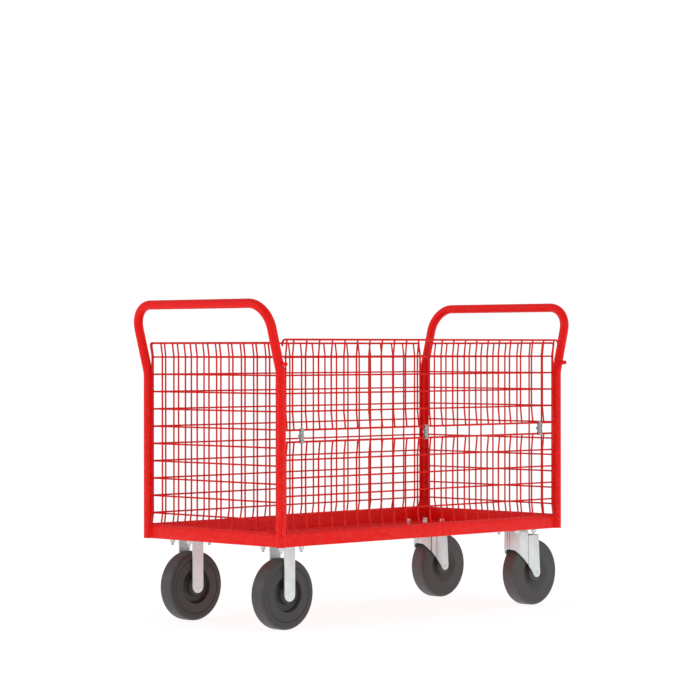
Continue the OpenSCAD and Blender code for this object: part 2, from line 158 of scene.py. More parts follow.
class TruckColours(bpy.types.PropertyGroup):
    coat: paint("Coat", "Powder coat on the frame, tubes and wires", (0.80, 0.0045, 0.0035))
    # The wire coat is the frame's powder coat painted darker: painted shade for the dim sides of the thin
    # round wires.
    wire_coat: paint("Wire coat", "Powder coat on the wire panels", (0.64, 0.0030, 0.0030))
    clip: paint("Clip", "Duller plating on the gate clips", (0.33, 0.36, 0.36))
    coat_worn: paint("Worn coat", "Powder coat where it is rubbed thin", (0.84, 0.045, 0.035))
    zinc: paint("Zinc", "Zinc plating on the castors and fixings", (0.70, 0.75, 0.755))
    steel: paint("Steel", "Bare turned steel", (0.42, 0.41, 0.40))
    rubber: paint("Rubber", "Tyres", (0.046, 0.044, 0.043))
    core: paint("Wheel centre", "Moulded wheel centres", (0.046, 0.044, 0.043))
    floor: paint("Floor", "Studio floor", (0.22, 0.22, 0.22))


def sizes():
    return bpy.context.scene.truck_sizes


def colours():
    return bpy.context.scene.truck_colours


# ---------------------------------------------------------------- material nodes

class Number:
    """A socket that carries a number: arithmetic on it adds Math nodes."""

    def __init__(self, look, socket):
        self.look, self.socket = look, socket

    def _math(self, operation, first, second=None):
        values = {0: first} if second is None else {0: first, 1: second}
        made = self.look.node("ShaderNodeMath", {"operation": operation}, values)
        return Number(self.look, made.outputs[0])

    def __add__(self, other):
        return self._math("ADD", self, other)

    __radd__ = __add__

    def __mul__(self, other):
        return self._math("MULTIPLY", self, other)

    __rmul__ = __mul__

    def __pow__(self, other):
        return self._math("POWER", self, other)

    def below(self, edge):
        return self._math("LESS_THAN", self, edge)

    def above(self, edge):
        return self._math("GREATER_THAN", self, edge)


class Look:
    """One material under construction."""

    def __init__(self, name):
        self.material = bpy.data.materials.new(name)
        self.material.use_nodes = True
        self.tree = self.material.node_tree
        self.tree.nodes.clear()
        self.output = self.node("ShaderNodeOutputMaterial")

    def node(self, kind, settings=None, values=None):
        """Adds a node: its settings are set first, then its sockets get values or links."""
        made = self.tree.nodes.new(kind)
        for name, value in (settings or {}).items():
            if name == "stops":
                for stop, (place, level) in zip(made.color_ramp.elements, value):
                    stop.position, stop.color = place, (level, level, level, 1.0)
            else:
                setattr(made, name, value)
        for key, value in (values or {}).items():
            if isinstance(value, Number):
                value = value.socket
            if isinstance(value, bpy.types.NodeSocket):
                self.tree.links.new(value, made.inputs[key])
            else:
                made.inputs[key].default_value = value
        return made

    def place(self, centre=(0, 0, 0), scale=(1, 1, 1)):
        """Object coordinates, measured from a centre and stretched."""
        where = self.node("ShaderNodeTexCoord").outputs["Object"]
        start = tuple(-part * stretch for part, stretch in zip(centre, scale))
        return self.node("ShaderNodeMapping", {"vector_type": "POINT"}, {
            "Vector": where, "Location": start, "Scale": scale}).outputs[0]

    def noise(self, scale, detail=2.0, where=None, roughness=0.5):
        """Noise about 0.5, with `scale` spots a metre."""
        where = where or self.place()
        return Number(self, self.node("ShaderNodeTexNoise", {"noise_dimensions": "3D"}, {
            "Vector": where, "Scale": scale, "Detail": detail, "Roughness": roughness}).outputs["Fac"])

    def ramp(self, value, start, end):
        """0 below start, 1 above end."""
        made = self.node("ShaderNodeValToRGB", {"stops": ((start, 0.0), (end, 1.0))}, {"Fac": value})
        return Number(self, made.outputs["Color"])

    def line(self, value, middle, half):
        """1 where the value is within half of the middle."""
        return value.above(middle - half) * value.below(middle + half)

    def edges(self, start=0.51, end=0.56):
        """1 along outward edges."""
        sharp = self.node("ShaderNodeNewGeometry").outputs["Pointiness"]
        return self.ramp(Number(self, sharp), start, end)

    def blend(self, mask, first, second):
        """A colour that goes from first to second with the mask."""
        def four(colour):
            return colour if isinstance(colour, bpy.types.NodeSocket) else (*colour, 1.0)
        made = self.node("ShaderNodeMix", {"data_type": "RGBA"})
        self.tree.links.new(mask.socket, made.inputs[0])
        for socket, colour in ((6, four(first)), (7, four(second))):
            if isinstance(colour, bpy.types.NodeSocket):
                self.tree.links.new(colour, made.inputs[socket])
            else:
                made.inputs[socket].default_value = colour
        return made.outputs[2]

    def bump(self, height, distance, strength):
        """A normal from a height, with the distance in metres."""
        return self.node("ShaderNodeBump", None, {
            "Height": height, "Distance": distance, "Strength": strength}).outputs["Normal"]

    def finish(self, **values):
        """Closes the material; each name is a shader socket with _ for a space."""
        shader = self.node("ShaderNodeBsdfPrincipled", None, {
            key.replace("_", " "): value for key, value in values.items()})
        self.tree.links.new(shader.outputs[0], self.output.inputs["Surface"])
        return self.material


def shade(colour, factor):
    return tuple(min(1.0, part * factor) for part in colour)


def powder_coat(name, grain=650.0):
    """Gloss powder coat: orange peel, slight shade drift, thin edges and a little dust."""
    look = Look(name)
    # The wire panels take the darker wire coat: painted shade for the thin wires.
    coat = tuple(colours().wire_coat if name == "wire_coat" else colours().coat)
    drift = look.noise(4.0, 3.0)
    peel = look.noise(grain, 1.0)
    speck = look.ramp(look.noise(1400.0, 0.0), 0.72, 0.80)
    rubbed = look.edges() * look.ramp(look.noise(90.0, 4.0), 0.42, 0.62)
    colour = look.blend(look.ramp(drift, 0.3, 0.7), shade(coat, 0.97), shade(coat, 1.03))
    colour = look.blend(rubbed * 0.45, colour, tuple(colours().coat_worn))
    colour = look.blend(speck * 0.08, colour, shade(coat, 0.6))
    gloss = 0.10 if name == "deck_coat" else 0.30
    rough = gloss + look.noise(22.0, 4.0) * 0.10 + rubbed * 0.08
    return look.finish(Base_Color=colour, Roughness=rough, Specular_IOR_Level=0.14,
                       Coat_Weight=0.02, Coat_Roughness=0.12,
                       Normal=look.bump(peel + look.noise(160.0, 1.0) * 0.8, 0.00006, 0.5))


def zinc_plate(name, axis=None):
    """Bright zinc on pressed steel: cloudy patches, rolling grain, dull spots, rubbed edges.

    With a swivel axis it is a pressed fork, with painted shade along its fold lines, the edges of its
    skirt's rib and under its crown's lip, and a painted shadow by the back fork's near leg edge.
    """
    look = Look(name)
    zinc = tuple(colours().clip if name == "clip_plate" else colours().zinc)
    cloud = look.noise(38.0, 4.0)
    grain = look.noise(1.0, 3.0, look.place(scale=(1500.0, 1500.0, 60.0)))
    dull = look.ramp(look.noise(140.0, 5.0), 0.60, 0.72)
    colour = look.blend(look.ramp(cloud, 0.35, 0.65), shade(zinc, 0.93), shade(zinc, 1.03))
    colour = look.blend(dull * 0.25, colour, shade(zinc, 0.82))
    colour = look.blend(look.edges(0.52, 0.60) * 0.5, colour, shade(zinc, 1.22))
    if axis is not None:
        cool = 0.94 if axis.y > 0 else 0.99
        zinc = (cool * zinc[0], zinc[1], 0.995 * zinc[2])
        colour = look.blend(look.ramp(cloud, 0.35, 0.65), shade(zinc, 0.95), shade(zinc, 1.03))
        # Darkens the fork with painted shade along its creases and under its crown, and a painted shadow on
        # the back fork.
        colour = look.blend(painted_fork_shade(look, axis) * 0.88, colour, (0.07, 0.06, 0.06))
    rough = 0.34 + cloud * 0.10 + dull * 0.12
    return look.finish(Base_Color=colour, Roughness=rough, Metallic=0.25,
                       Normal=look.bump(grain + cloud * 0.6, 0.00003, 0.6))


def painted_fork_shade(look, axis):
    """1 where shade is painted on a swivel fork: its creases, its rib edges, under its crown's lip, and by
    the back fork's near leg edge.
    """
    parts = look.node("ShaderNodeSeparateXYZ", None, {0: look.place(centre=(axis.x, axis.y, 0.0))})
    x, y, z = (Number(look, parts.outputs[part]) for part in "XYZ")
    leg = look.line(x, 20 * MM, 0.7 * MM)
    front = x.below(-30 * MM) * look.line((y * y) ** 0.5, 4.2 * MM, 0.8 * MM)
    lip = look.line(z, 215.5 * MM, 0.9 * MM) * x.above(20 * MM)
    shade_marks = leg + front + lip
    # The back fork also gets a painted shadow by its near leg's front edge.
    if axis.y > 0:
        shade_marks = shade_marks + look.line(x, -4 * MM, 2.2 * MM) * y.below(-26 * MM)
    return shade_marks


def turned_steel(name):
    """Bare steel from the lathe, with an oily film."""
    look = Look(name)
    steel = tuple(colours().steel)
    film = look.noise(60.0, 4.0)
    ring = look.noise(1.0, 2.0, look.place(scale=(120.0, 4000.0, 120.0)))
    colour = look.blend(look.ramp(film, 0.35, 0.7), steel, shade(steel, 0.66))
    colour = look.blend(look.edges() * 0.6, colour, shade(steel, 1.5))
    return look.finish(Base_Color=colour, Roughness=0.30 + film * 0.18, Metallic=1.0,
                       Normal=look.bump(ring, 0.00002, 0.6))


def wheel_stuff(name, centre, colour, dust, gloss):
    """Moulded rubber or plastic turned about an axle: faint mould rings, fine grain, dust."""
    look = Look(name)
    place = look.place(centre=centre)
    parts = look.node("ShaderNodeSeparateXYZ", None, {0: place})
    across = Number(look, parts.outputs["X"])
    rise = Number(look, parts.outputs["Z"])
    radius = (across * across + rise * rise) ** 0.5
    ring = Number(look, look.node("ShaderNodeMath", {"operation": "SINE"},
                                  {0: radius * 2600.0}).outputs[0])
    patch = look.noise(16.0, 4.0, place)
    grain = look.noise(1100.0, 1.0, place)
    scuff = look.ramp(look.noise(1.0, 4.0, look.place(centre, (60.0, 9.0, 60.0))), 0.55, 0.75)
    tint = look.blend(look.ramp(patch, 0.3, 0.7), shade(colour, 0.90), shade(colour, 1.12))
    tread = look.ramp(radius, 94 * MM, 98.5 * MM)
    tint = look.blend(tread * (0.35 + scuff * 0.4) * dust, tint, shade(colour, 2.3))
    tint = look.blend(look.edges(0.51, 0.58) * 0.3, tint, shade(colour, 1.9))
    rough = gloss + patch * 0.10 + scuff * 0.06
    height = grain * 0.8 + ring * 0.10
    return look.finish(Base_Color=tint, Roughness=rough, Specular_IOR_Level=0.30,
                       Normal=look.bump(height, 0.00005, 0.5))


def floor_paint():
    look = Look("studio_floor")
    pale = tuple(colours().floor)
    colour = look.blend(look.noise(0.8, 2.0), shade(pale, 0.99), shade(pale, 1.01))
    return look.finish(Base_Color=colour, Roughness=0.9, Specular_IOR_Level=0.0,
                       Emission_Color=(1.0, 1.0, 1.0, 1.0), Emission_Strength=0.88)


MATERIALS = {}


def finish_for(kind):
    """The shared material of that name, made the first time it is asked for."""
    makers = {"frame_coat": powder_coat, "deck_coat": powder_coat, "wire_coat": powder_coat,
              "zinc_plate": zinc_plate, "clip_plate": zinc_plate,
              "turned_steel": turned_steel}
    if kind not in MATERIALS:
        MATERIALS[kind] = makers[kind](kind)
    return MATERIALS[kind]


SLOTS = {"frame_coat": "red_frame", "deck_coat": "red_frame", "wire_coat": "red_wire",
         "zinc_plate": "zinc", "clip_plate": "zinc",
         "turned_steel": "bearing_steel"}


# ---------------------------------------------------------------- mesh helpers

def finished(name, bm, material, body, slot, *nodes, angle=32.0):
    """Turns a bmesh into a piece that rides on a body and stands for some CAD nodes."""
    bmesh.ops.recalc_face_normals(bm, faces=bm.faces)
    mesh = bpy.data.meshes.new(name)
    bm.to_mesh(mesh)
    bm.free()
    mesh.shade_smooth()
    mesh.set_sharp_from_angle(angle=radians(angle))
    mesh.materials.append(material)
    piece = bpy.data.objects.new(name, mesh)
    bpy.context.scene.collection.objects.link(piece)
    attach(piece, body)
    if nodes:
        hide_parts(*nodes)
    return piece


def metal(name, bm, kind, body, *nodes, **options):
    """A piece in one of the shared finishes."""
    return finished(name, bm, finish_for(kind), body, SLOTS[kind], *nodes, **options)


def rounded(corners, radii, steps=6):
    """The points of a path whose inner corners are arcs of the given radii."""
    points = [corners[0]]
    for before, corner, after, radius in zip(corners, corners[1:], corners[2:], radii):
        come, leave = (corner - before).normalized(), (after - corner).normalized()
        turn = come.angle(leave)
        inward = (leave - come * come.dot(leave)).normalized()
        start = corner - come * radius * tan(turn / 2)
        for k in range(steps + 1):
            swept = turn * k / steps
            points.append(start + come * radius * sin(swept) + inward * radius * (1 - cos(swept)))
    return points + [corners[-1]]


def stations(points):
    """A place for a circle at each point, square to the path and never twisting."""
    ways = [(b - a).normalized() for a, b in zip(points, points[1:])]
    tangents = [ways[0]] + [(a + b).normalized() for a, b in zip(ways, ways[1:])] + [ways[-1]]
    turn = Vector((0, 0, 1)).rotation_difference(tangents[0])
    places = []
    for point, before, tangent in zip(points, [tangents[0]] + tangents, tangents):
        turn = before.rotation_difference(tangent) @ turn
        places.append(Matrix.Translation(point) @ turn.to_matrix().to_4x4())
    return places


def sweep(bm, points, radius, sides=12, chamfer=0.0, widths=None):
    """A round bar along the points: a circle is extruded from each point to the next."""
    widths = widths or [1.0] * len(points)
    if chamfer:
        first, last = (points[1] - points[0]).normalized(), (points[-1] - points[-2]).normalized()
        points = [points[0], points[0] + first * chamfer, *points[1:-1],
                  points[-1] - last * chamfer, points[-1]]
        narrow = 1 - chamfer / radius
        widths = [narrow, widths[0], *widths[1:-1], widths[-1], narrow]
    places = [place @ Matrix.Diagonal((width, width, 1, 1))
              for place, width in zip(stations(points), widths)]
    ring = bmesh.ops.create_circle(bm, segments=sides, radius=radius, matrix=places[0])["verts"]
    edges = list({edge for vert in ring for edge in vert.link_edges})
    ends = [edges]
    for before, after in zip(places, places[1:]):
        made = bmesh.ops.extrude_edge_only(bm, edges=edges)["geom"]
        ring = [item for item in made if isinstance(item, bmesh.types.BMVert)]
        edges = [item for item in made if isinstance(item, bmesh.types.BMEdge)
                 and all(vert in ring for vert in item.verts)]
        bmesh.ops.transform(bm, matrix=after @ before.inverted(), verts=ring)
    ends.append(edges)
    return [bmesh.ops.edgeloop_fill(bm, edges=end)["faces"][0] for end in ends]


def as_mesh(bm):
    """Turns a small bmesh into a mesh that can be stamped."""
    mesh = bpy.data.meshes.new("stamp")
    bm.to_mesh(mesh)
    bm.free()
    return mesh


def stamp(bm, mesh, place):
    """Adds a moved copy of a small mesh."""
    copy = mesh.copy()
    copy.transform(place)
    bm.from_mesh(copy)
    bpy.data.meshes.remove(copy)


STAMPS = {}


def nugget(bm, centre, radius, squash=(1.0, 1.0, 1.0)):
    """A small weld nugget."""
    if "nugget" not in STAMPS:
        ball = bmesh.new()
        bmesh.ops.create_uvsphere(ball, u_segments=6, v_segments=4, radius=1.0)
        STAMPS["nugget"] = as_mesh(ball)
    stamp(bm, STAMPS["nugget"],
          Matrix.Translation(centre) @ Matrix.Diagonal((*(radius * part for part in squash), 1.0)))


def weld_bead(bm, points, radius, ripple=0.16):
    """A fillet of weld along the points, with a ripple every millimetre or two."""
    total = sum((b - a).length for a, b in zip(points, points[1:]))
    count = max(6, int(total / (0.9 * MM)))
    path = [along(points, total * k / count) for k in range(count + 1)]
    widths = [1.0 + ripple * (1 if k % 2 else -1) for k in range(count + 1)]
    widths[0] = widths[-1] = 0.35
    bead = bmesh.new()
    sweep(bead, path, radius, sides=8, widths=widths)
    merge_in(bm, bead)


def along(points, distance):
    """The point that far along a line of points."""
    for a, b in zip(points, points[1:]):
        step = (b - a).length
        if distance <= step or b is points[-1]:
            return a + (b - a) * min(1.0, distance / step)
        distance -= step
    return points[-1]


def lathe(bm, profile, centre, axis=(0, 1, 0), start=(1, 0, 0), steps=96):
    """Spins an outline of (radius, place along the axis) pairs about an axis."""
    axis, start = Vector(axis), Vector(start)
    verts = [bmesh.ops.create_vert(bm, co=centre + start * r + axis * y)["vert"][0] for r, y in profile]
    edges = [bm.edges.new(pair) for pair in zip(verts, verts[1:])]
    bmesh.ops.spin(bm, geom=verts + edges, cent=centre, axis=axis, angle=2 * pi,
                   steps=steps, use_merge=True, use_duplicate=False)
    bmesh.ops.remove_doubles(bm, verts=bm.verts, dist=MERGE)


def outline(points, radius_by_corner, steps=4):
    """A flat profile with some corners rounded, as (x, y) pairs; the ends stay sharp."""
    path = rounded([Vector((*point, 0.0)) for point in points], radius_by_corner, steps)
    return [(point.x, point.y) for point in path]


def cad_copy(*nodes):
    """A merged copy of some CAD nodes, with flat faces made whole."""
    bm = bmesh.new()
    for node in nodes:
        bm.from_mesh(frame["nodes"][node].data)
    bmesh.ops.remove_doubles(bm, verts=bm.verts, dist=MERGE)
    bmesh.ops.dissolve_limit(bm, angle_limit=radians(0.6), verts=bm.verts, edges=bm.edges)
    return bm


def soften(bm, radius, keep=lambda edge: True, segments=2, angle=35.0):
    """Rounds the sharp edges that keep() allows."""
    sharp = [edge for edge in bm.edges
             if edge.is_manifold and edge.calc_face_angle(0.0) > radians(angle) and keep(edge)]
    bmesh.ops.bevel(bm, geom=sharp, offset=radius, offset_type="OFFSET", segments=segments,
                    affect="EDGES", profile=0.5, material=-1, clamp_overlap=True)


def hexagon(bm, centre, radius, height, top=1, washer=0.0, turn=0.0):
    """A hexagon head or nut that stands on centre toward top (1 up, -1 down), with eased corners."""
    place = Matrix.Translation(centre) @ Matrix.Rotation(0 if top > 0 else pi, 4, "X") \
        @ Matrix.Rotation(turn, 4, "Z")
    middle = washer + height / 2
    made = bmesh.ops.create_cone(bm, cap_ends=True, segments=6, radius1=radius, radius2=radius,
                                 depth=height, matrix=place @ Matrix.Translation((0, 0, middle)))["verts"]
    tall = [vert for vert in made if (place.inverted() @ vert.co).z > middle]
    corner_edges = [edge for edge in bm.edges if all(vert in tall for vert in edge.verts)]
    bmesh.ops.bevel(bm, geom=corner_edges, offset=height * 0.16, offset_type="OFFSET", segments=2,
                    affect="EDGES", profile=0.5, material=-1)
    if washer:
        bmesh.ops.create_cone(bm, cap_ends=True, segments=24, radius1=radius * 1.06, radius2=radius,
                              depth=washer, matrix=place @ Matrix.Translation((0, 0, washer / 2)))


# ---------------------------------------------------------------- places on the frame

class Posts:
    """Where the four posts and the main levels of the frame are."""

    def __init__(self):
        r = sizes().tube / 2
        self.r = r
        self.left, self.right = high("hoop_left").x - r, low("hoop_right").x + r
        self.front, self.back = low("hoop_left").y + r, high("hoop_left").y - r
        self.bar_z = high("hoop_left").z - r
        self.bar_out = self.left - (low("hoop_left").x + r)
        self.foot_z, self.top_z = low("frame_front").z, high("frame_front").z


# ---------------------------------------------------------------- pieces

def build_tray():
    """The angles, each a CAD shape with softened edges and its weld beads."""
    posts = Posts()
    edge = sizes().soft_edge
    bead = 1.7 * MM
    for name in ("front", "back", "left", "right"):
        bm = cad_copy("frame_" + name)
        soften(bm, edge * 1.2, segments=3)
        long_side = name in ("front", "back")
        out = -1 if name in ("front", "left") else 1
        fixed = getattr(posts, name)
        for far in (0, 1):
            for face in (out * ANGLE_WALL / 2, -out * ANGLE_WALL / 2):
                reach = sqrt(posts.r ** 2 - face ** 2) + 0.3 * MM
                if long_side:
                    x = (posts.right - reach) if far else (posts.left + reach)
                    foot = Vector((x, fixed + face, posts.foot_z + 1 * MM))
                else:
                    y = (posts.back - reach) if far else (posts.front + reach)
                    foot = Vector((fixed + face, y, posts.foot_z + 1 * MM))
                rise = Vector((0, 0, posts.top_z - posts.foot_z - 2 * MM))
                weld_bead(bm, [foot, foot + rise], bead)
        metal(name + "_angle", bm, "frame_coat", "chassis", "frame_" + name)


def build_deck():
    """The load sheet, the bars under it and the castor pads."""
    edge = sizes().soft_edge
    bm = cad_copy("deck_plate")
    soften(bm, edge * 0.8)
    metal("load_sheet", bm, "deck_coat", "chassis", "deck_plate")
    for name, node, inward in (
            ("under_bars", "cross_bars", 20 * MM), ("corner_pads", "castor_pads", 50 * MM)):
        bm = cad_copy(node)
        soften(bm, edge * 1.4)
        lo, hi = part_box(node)
        z = lo.z + 0.4 * MM
        for x in (lo.x + inward, hi.x - inward):
            for y in (lo.y, hi.y):
                weld_bead(bm, [Vector((x - 14 * MM, y, z)), Vector((x + 14 * MM, y, z))], 1.6 * MM)
        metal(name, bm, "frame_coat", "chassis", node)


def build_handles():
    """Both bent tube hoops, open at their feet, and the gate pegs."""
    posts, s = Posts(), sizes()
    for side, x, out in (("left", posts.left, -1), ("right", posts.right, 1)):
        bm = bmesh.new()
        top_x = x + out * posts.bar_out
        corners = [Vector(place) for place in (
            (x, posts.front, posts.foot_z), (x, posts.front, s.lean_start),
            (top_x, posts.front, posts.bar_z), (top_x, posts.back, posts.bar_z),
            (x, posts.back, s.lean_start), (x, posts.back, posts.foot_z))]
        path = rounded(corners, [s.knee_bend, s.corner_bend, s.corner_bend, s.knee_bend], steps=14)
        for end in sweep(bm, path, posts.r, sides=40, chamfer=0.5 * MM):
            bmesh.ops.inset_region(bm, faces=[end], thickness=s.tube_wall - 0.5 * MM)
            pushed = bmesh.ops.extrude_discrete_faces(bm, faces=[end])["faces"]
            bmesh.ops.translate(bm, vec=(0, 0, 60 * MM), verts=pushed[0].verts)
        bmesh.ops.remove_doubles(bm, verts=bm.verts, dist=MERGE)
        metal("handle_" + side, bm, "frame_coat", "chassis", "hoop_" + side)
    bm = bmesh.new()
    lo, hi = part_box("gate_pegs")
    z = (lo.z + hi.z) / 2
    ring = PEG_RADIUS + 0.4 * MM
    for x in (lo.x + PEG_RADIUS, hi.x - PEG_RADIUS):
        root = Vector((x, posts.front - posts.r * 0.7, z))
        sweep(bm, [root, Vector((x, lo.y, z))], PEG_RADIUS, sides=28, chamfer=1.4 * MM)
        circle = [Vector((x + ring * cos(a), posts.front - posts.r - 0.2 * MM, z + ring * sin(a)))
                  for a in (2 * pi * k / 18 for k in range(19))]
        weld_bead(bm, circle, 1.4 * MM)
    metal("gate_stop_pegs", bm, "frame_coat", "chassis", "gate_pegs")


class Panel:
    """One wire panel, built flat: x along it, -y outward, and then turned into place."""

    def __init__(self, name, corner, turn, span, first, count, rows, low_rail, high_rail):
        self.name, self.span, self.first, self.count = name, span, first, count
        self.rows, self.low_rail, self.high_rail = rows, low_rail, high_rail
        self.place = Matrix.Translation(corner) @ Matrix.Rotation(turn, 4, "Z")
        self.bm = bmesh.new()
        s = sizes()
        self.wire_r, self.rail_r, self.edge_in = s.wire / 2, s.rail / 2, s.edge_in
        self.rail_off = self.wire_r + self.rail_r
        self.cross_in = s.wire - 0.4 * MM      # cross wires sink a little into the uprights
        self.foot = rows[-1] - ELBOW_RISE
        self.head = rows[0] + ELBOW_RISE

    def line(self, z, start, radius, inward):
        """A level wire from one end of the panel to the other."""
        wire = bmesh.new()
        sweep(wire, [Vector((start, inward, z)), Vector((self.span - start, inward, z))],
              radius, sides=10, chamfer=0.6 * MM)
        merge_in(self.bm, wire)

    def uprights(self, places):
        """Like wires, each with a bend past the last cross wire at each end."""
        corners = [Vector(place) for place in (
            (0, -self.rail_off, self.low_rail), (0, 0, self.foot),
            (0, 0, self.head), (0, -self.rail_off, self.high_rail))]
        wire = bmesh.new()
        sweep(wire, rounded(corners, [WIRE_BEND] * 2, steps=3), self.wire_r, sides=10)
        mesh = as_mesh(wire)
        for u in places:
            stamp(self.bm, mesh, Matrix.Translation((u, 0, 0)))

    def wires(self):
        """Uprights, cross wires, and a weld nugget at every crossing."""
        places = [self.first + sizes().pitch * k for k in range(self.count)]
        self.uprights(places)
        for u in places + [self.edge_in, self.span - self.edge_in]:
            for z in self.rows:
                nugget(self.bm, (u, self.cross_in / 2, z), 2.9 * MM, (1.0, 0.62, 1.0))
            for z in (self.low_rail, self.high_rail):
                nugget(self.bm, (u, -self.rail_off + 1.9 * MM, z), 3.2 * MM, (1.0, 0.7, 0.8))

    def framed(self):
        """The thick wire that is the top rail and, turned down, both edge wires."""
        one_side = [(-self.rail_off, self.low_rail), (0, self.foot), (0, self.head),
                    (-self.rail_off, self.high_rail - CORNER_DROP), (-self.rail_off, self.high_rail)]
        near = [Vector((self.edge_in, y, z)) for y, z in one_side]
        far = [Vector((self.span - self.edge_in, y, z)) for y, z in reversed(one_side)]
        bends = [WIRE_BEND, WIRE_BEND, WIRE_BEND, CORNER_BEND]
        sweep(self.bm, rounded(near + far, bends + bends[::-1], steps=5), self.rail_r, sides=12)

    def plain_edges(self):
        self.uprights([self.edge_in, self.span - self.edge_in])

    def done(self, body, piece):
        """Turns the panel into place and makes it a piece."""
        bmesh.ops.transform(self.bm, matrix=self.place, verts=self.bm.verts)
        return metal(piece, self.bm, "wire_coat", body, self.name, angle=50.0)


def row_heights(top, count):
    return [top - sizes().pitch * k for k in range(count)]


def build_panels():
    """The four wire panels that are welded to the posts."""
    posts, s = Posts(), sizes()
    butt = posts.r - 0.6 * MM
    long_span = posts.right - posts.left
    short_span = posts.back - posts.front
    low_z = low("mesh_left").z + s.rail / 2
    top = high("mesh_left").z - s.rail / 2
    lower_top = high("mesh_front_lower").z - s.rail / 2
    tall = row_heights(s.grid_top, TALL_ROWS)
    short = row_heights(lower_top - s.pitch, LOW_ROWS)
    back_first = long_span - FIRST_WIRE["back"] - (LONG_WIRES - 1) * s.pitch
    left_first = short_span - FIRST_WIRE["left"] - (END_WIRES - 1) * s.pitch
    right_first, front_first = FIRST_WIRE["right"], FIRST_WIRE["front"]
    for name, corner, turn, span, first, count, rows in (
            ("left", (posts.left, posts.back, 0), -pi / 2, short_span, left_first, END_WIRES, tall),
            ("right", (posts.right, posts.front, 0), pi / 2, short_span, right_first, END_WIRES, tall),
            ("back", (posts.right, posts.back, 0), pi, long_span, back_first, LONG_WIRES, tall),
            ("front_lower", (posts.left, posts.front, 0), 0.0, long_span, front_first, LONG_WIRES, short)):
        lower = name == "front_lower"
        panel = Panel("mesh_" + name, corner, turn, span, first, count, rows, low_z,
                      lower_top if lower else top)
        panel.wires()
        if lower:
            panel.plain_edges()
        else:
            panel.framed()
        for z in rows:
            panel.line(z, butt, panel.wire_r, panel.cross_in)
        for z in (low_z, lower_top) if lower else (low_z,):
            panel.line(z, panel.edge_in - panel.rail_r, panel.rail_r, -panel.rail_off)
        rail_tacks(panel, low_z)
        post_tacks(panel, rows, butt)
        panel.done("chassis", name + "_wire_panel")


def rail_tacks(panel, z):
    """Tack welds between the bottom rail and the frame behind it."""
    y = -panel.rail_off + panel.rail_r + 0.6 * MM
    for share in (0.12, 0.37, 0.63, 0.88):
        ends = [Vector((panel.span * share + reach, y, z - 1.5 * MM)) for reach in (-9 * MM, 9 * MM)]
        weld_bead(panel.bm, ends, 1.5 * MM)


def post_tacks(panel, rows, butt):
    """Tack welds where the cross wires meet the posts."""
    for u in (butt + 0.2 * MM, panel.span - butt - 0.2 * MM):
        for z in rows:
            nugget(panel.bm, (u, panel.cross_in, z), 3.4 * MM, (0.7, 1.0, 1.0))


def build_gate():
    """The fold-down gate, whose top rail runs on to both posts and turns down."""
    posts, s = Posts(), sizes()
    span = posts.right - posts.left
    hinge_z = JOINTS["gate_fold"].z
    top = high("mesh_gate").z - s.rail / 2
    rows = row_heights(s.grid_top, LOW_ROWS)
    gate = Panel("mesh_gate", (posts.left, posts.front, 0), 0.0, span, FIRST_WIRE["front"], LONG_WIRES,
                 rows, hinge_z, top)
    gate.wires()
    gate.plain_edges()
    inset = gate.edge_in - gate.rail_r
    for z in rows:
        gate.line(z, inset, gate.wire_r, gate.cross_in)
    gate.line(hinge_z, inset, gate.rail_r, -gate.rail_off)
    corners = [Vector((u, -gate.rail_off, z)) for u, z in
               ((0, top - HOOK_DROP), (0, top), (span, top), (span, top - HOOK_DROP))]
    sweep(gate.bm, rounded(corners, [HOOK_BEND] * 2, steps=8), gate.rail_r, sides=12, chamfer=0.7 * MM)
    gate.done("gate", "gate_wire_panel")


def build_clips():
    """Folded clip plates round both rails, with a bolt and nut between."""
    hinge = JOINTS["gate_fold"]
    rail_r = sizes().rail / 2
    lower_z = high("mesh_front_lower").z - rail_r
    for face, node, name in (
            (-1, "clip_fronts", "clip_front_plates"), (1, "clip_backs", "clip_back_plates")):
        outline_points = clip_outline(face, rail_r + 0.06 * MM, (lower_z, hinge.z))
        bm = bmesh.new()
        for middle in clip_places():
            fold_strip(bm, middle, hinge.y, outline_points)
        bmesh.ops.recalc_face_normals(bm, faces=bm.faces)
        outward = sum(f.normal.y * face * f.calc_area() for f in bm.faces) > 0
        bmesh.ops.solidify(bm, geom=bm.faces, thickness=-CLIP_WALL if outward else CLIP_WALL)
        soften(bm, 0.35 * MM, angle=50.0)
        metal(name, bm, "clip_plate", "chassis", node)
    stand = CLIP_GAP + CLIP_WALL
    for node, name, toward, radius, height in (
            ("clip_bolts", "clip_hex_bolts", 1, 5 * MM, 4 * MM),
            ("clip_nuts", "clip_hex_nuts", -1, 5.5 * MM, 5 * MM)):
        bm = bmesh.new()
        for middle in clip_places():
            made = bmesh.new()
            hexagon(made, Vector((0, 0, stand)), radius, height)
            if node == "clip_bolts":
                ends = [Vector((0, 0, stand)), Vector((0, 0, -12 * MM))]
                sweep(made, ends, CLIP_SHANK, sides=16, chamfer=0.5 * MM)
            spot = Matrix.Translation((middle, hinge.y, (lower_z + hinge.z) / 2))
            turn = Matrix.Rotation(toward * pi / 2, 4, "X")
            bmesh.ops.transform(made, verts=made.verts, matrix=spot @ turn)
            merge_in(bm, made)
        metal(name, bm, "clip_plate", "chassis", node)


def clip_outline(face, bore, rails):
    """The side view of a clip plate, which bulges round each rail, as (y, z) pairs."""
    start = atan2(CLIP_GAP, bore)
    turns = [-pi / 2 + start + (pi - 2 * start) * k / 14 for k in range(15)]
    return [(face * bore * cos(a), z + bore * sin(a)) for z in rails for a in turns]


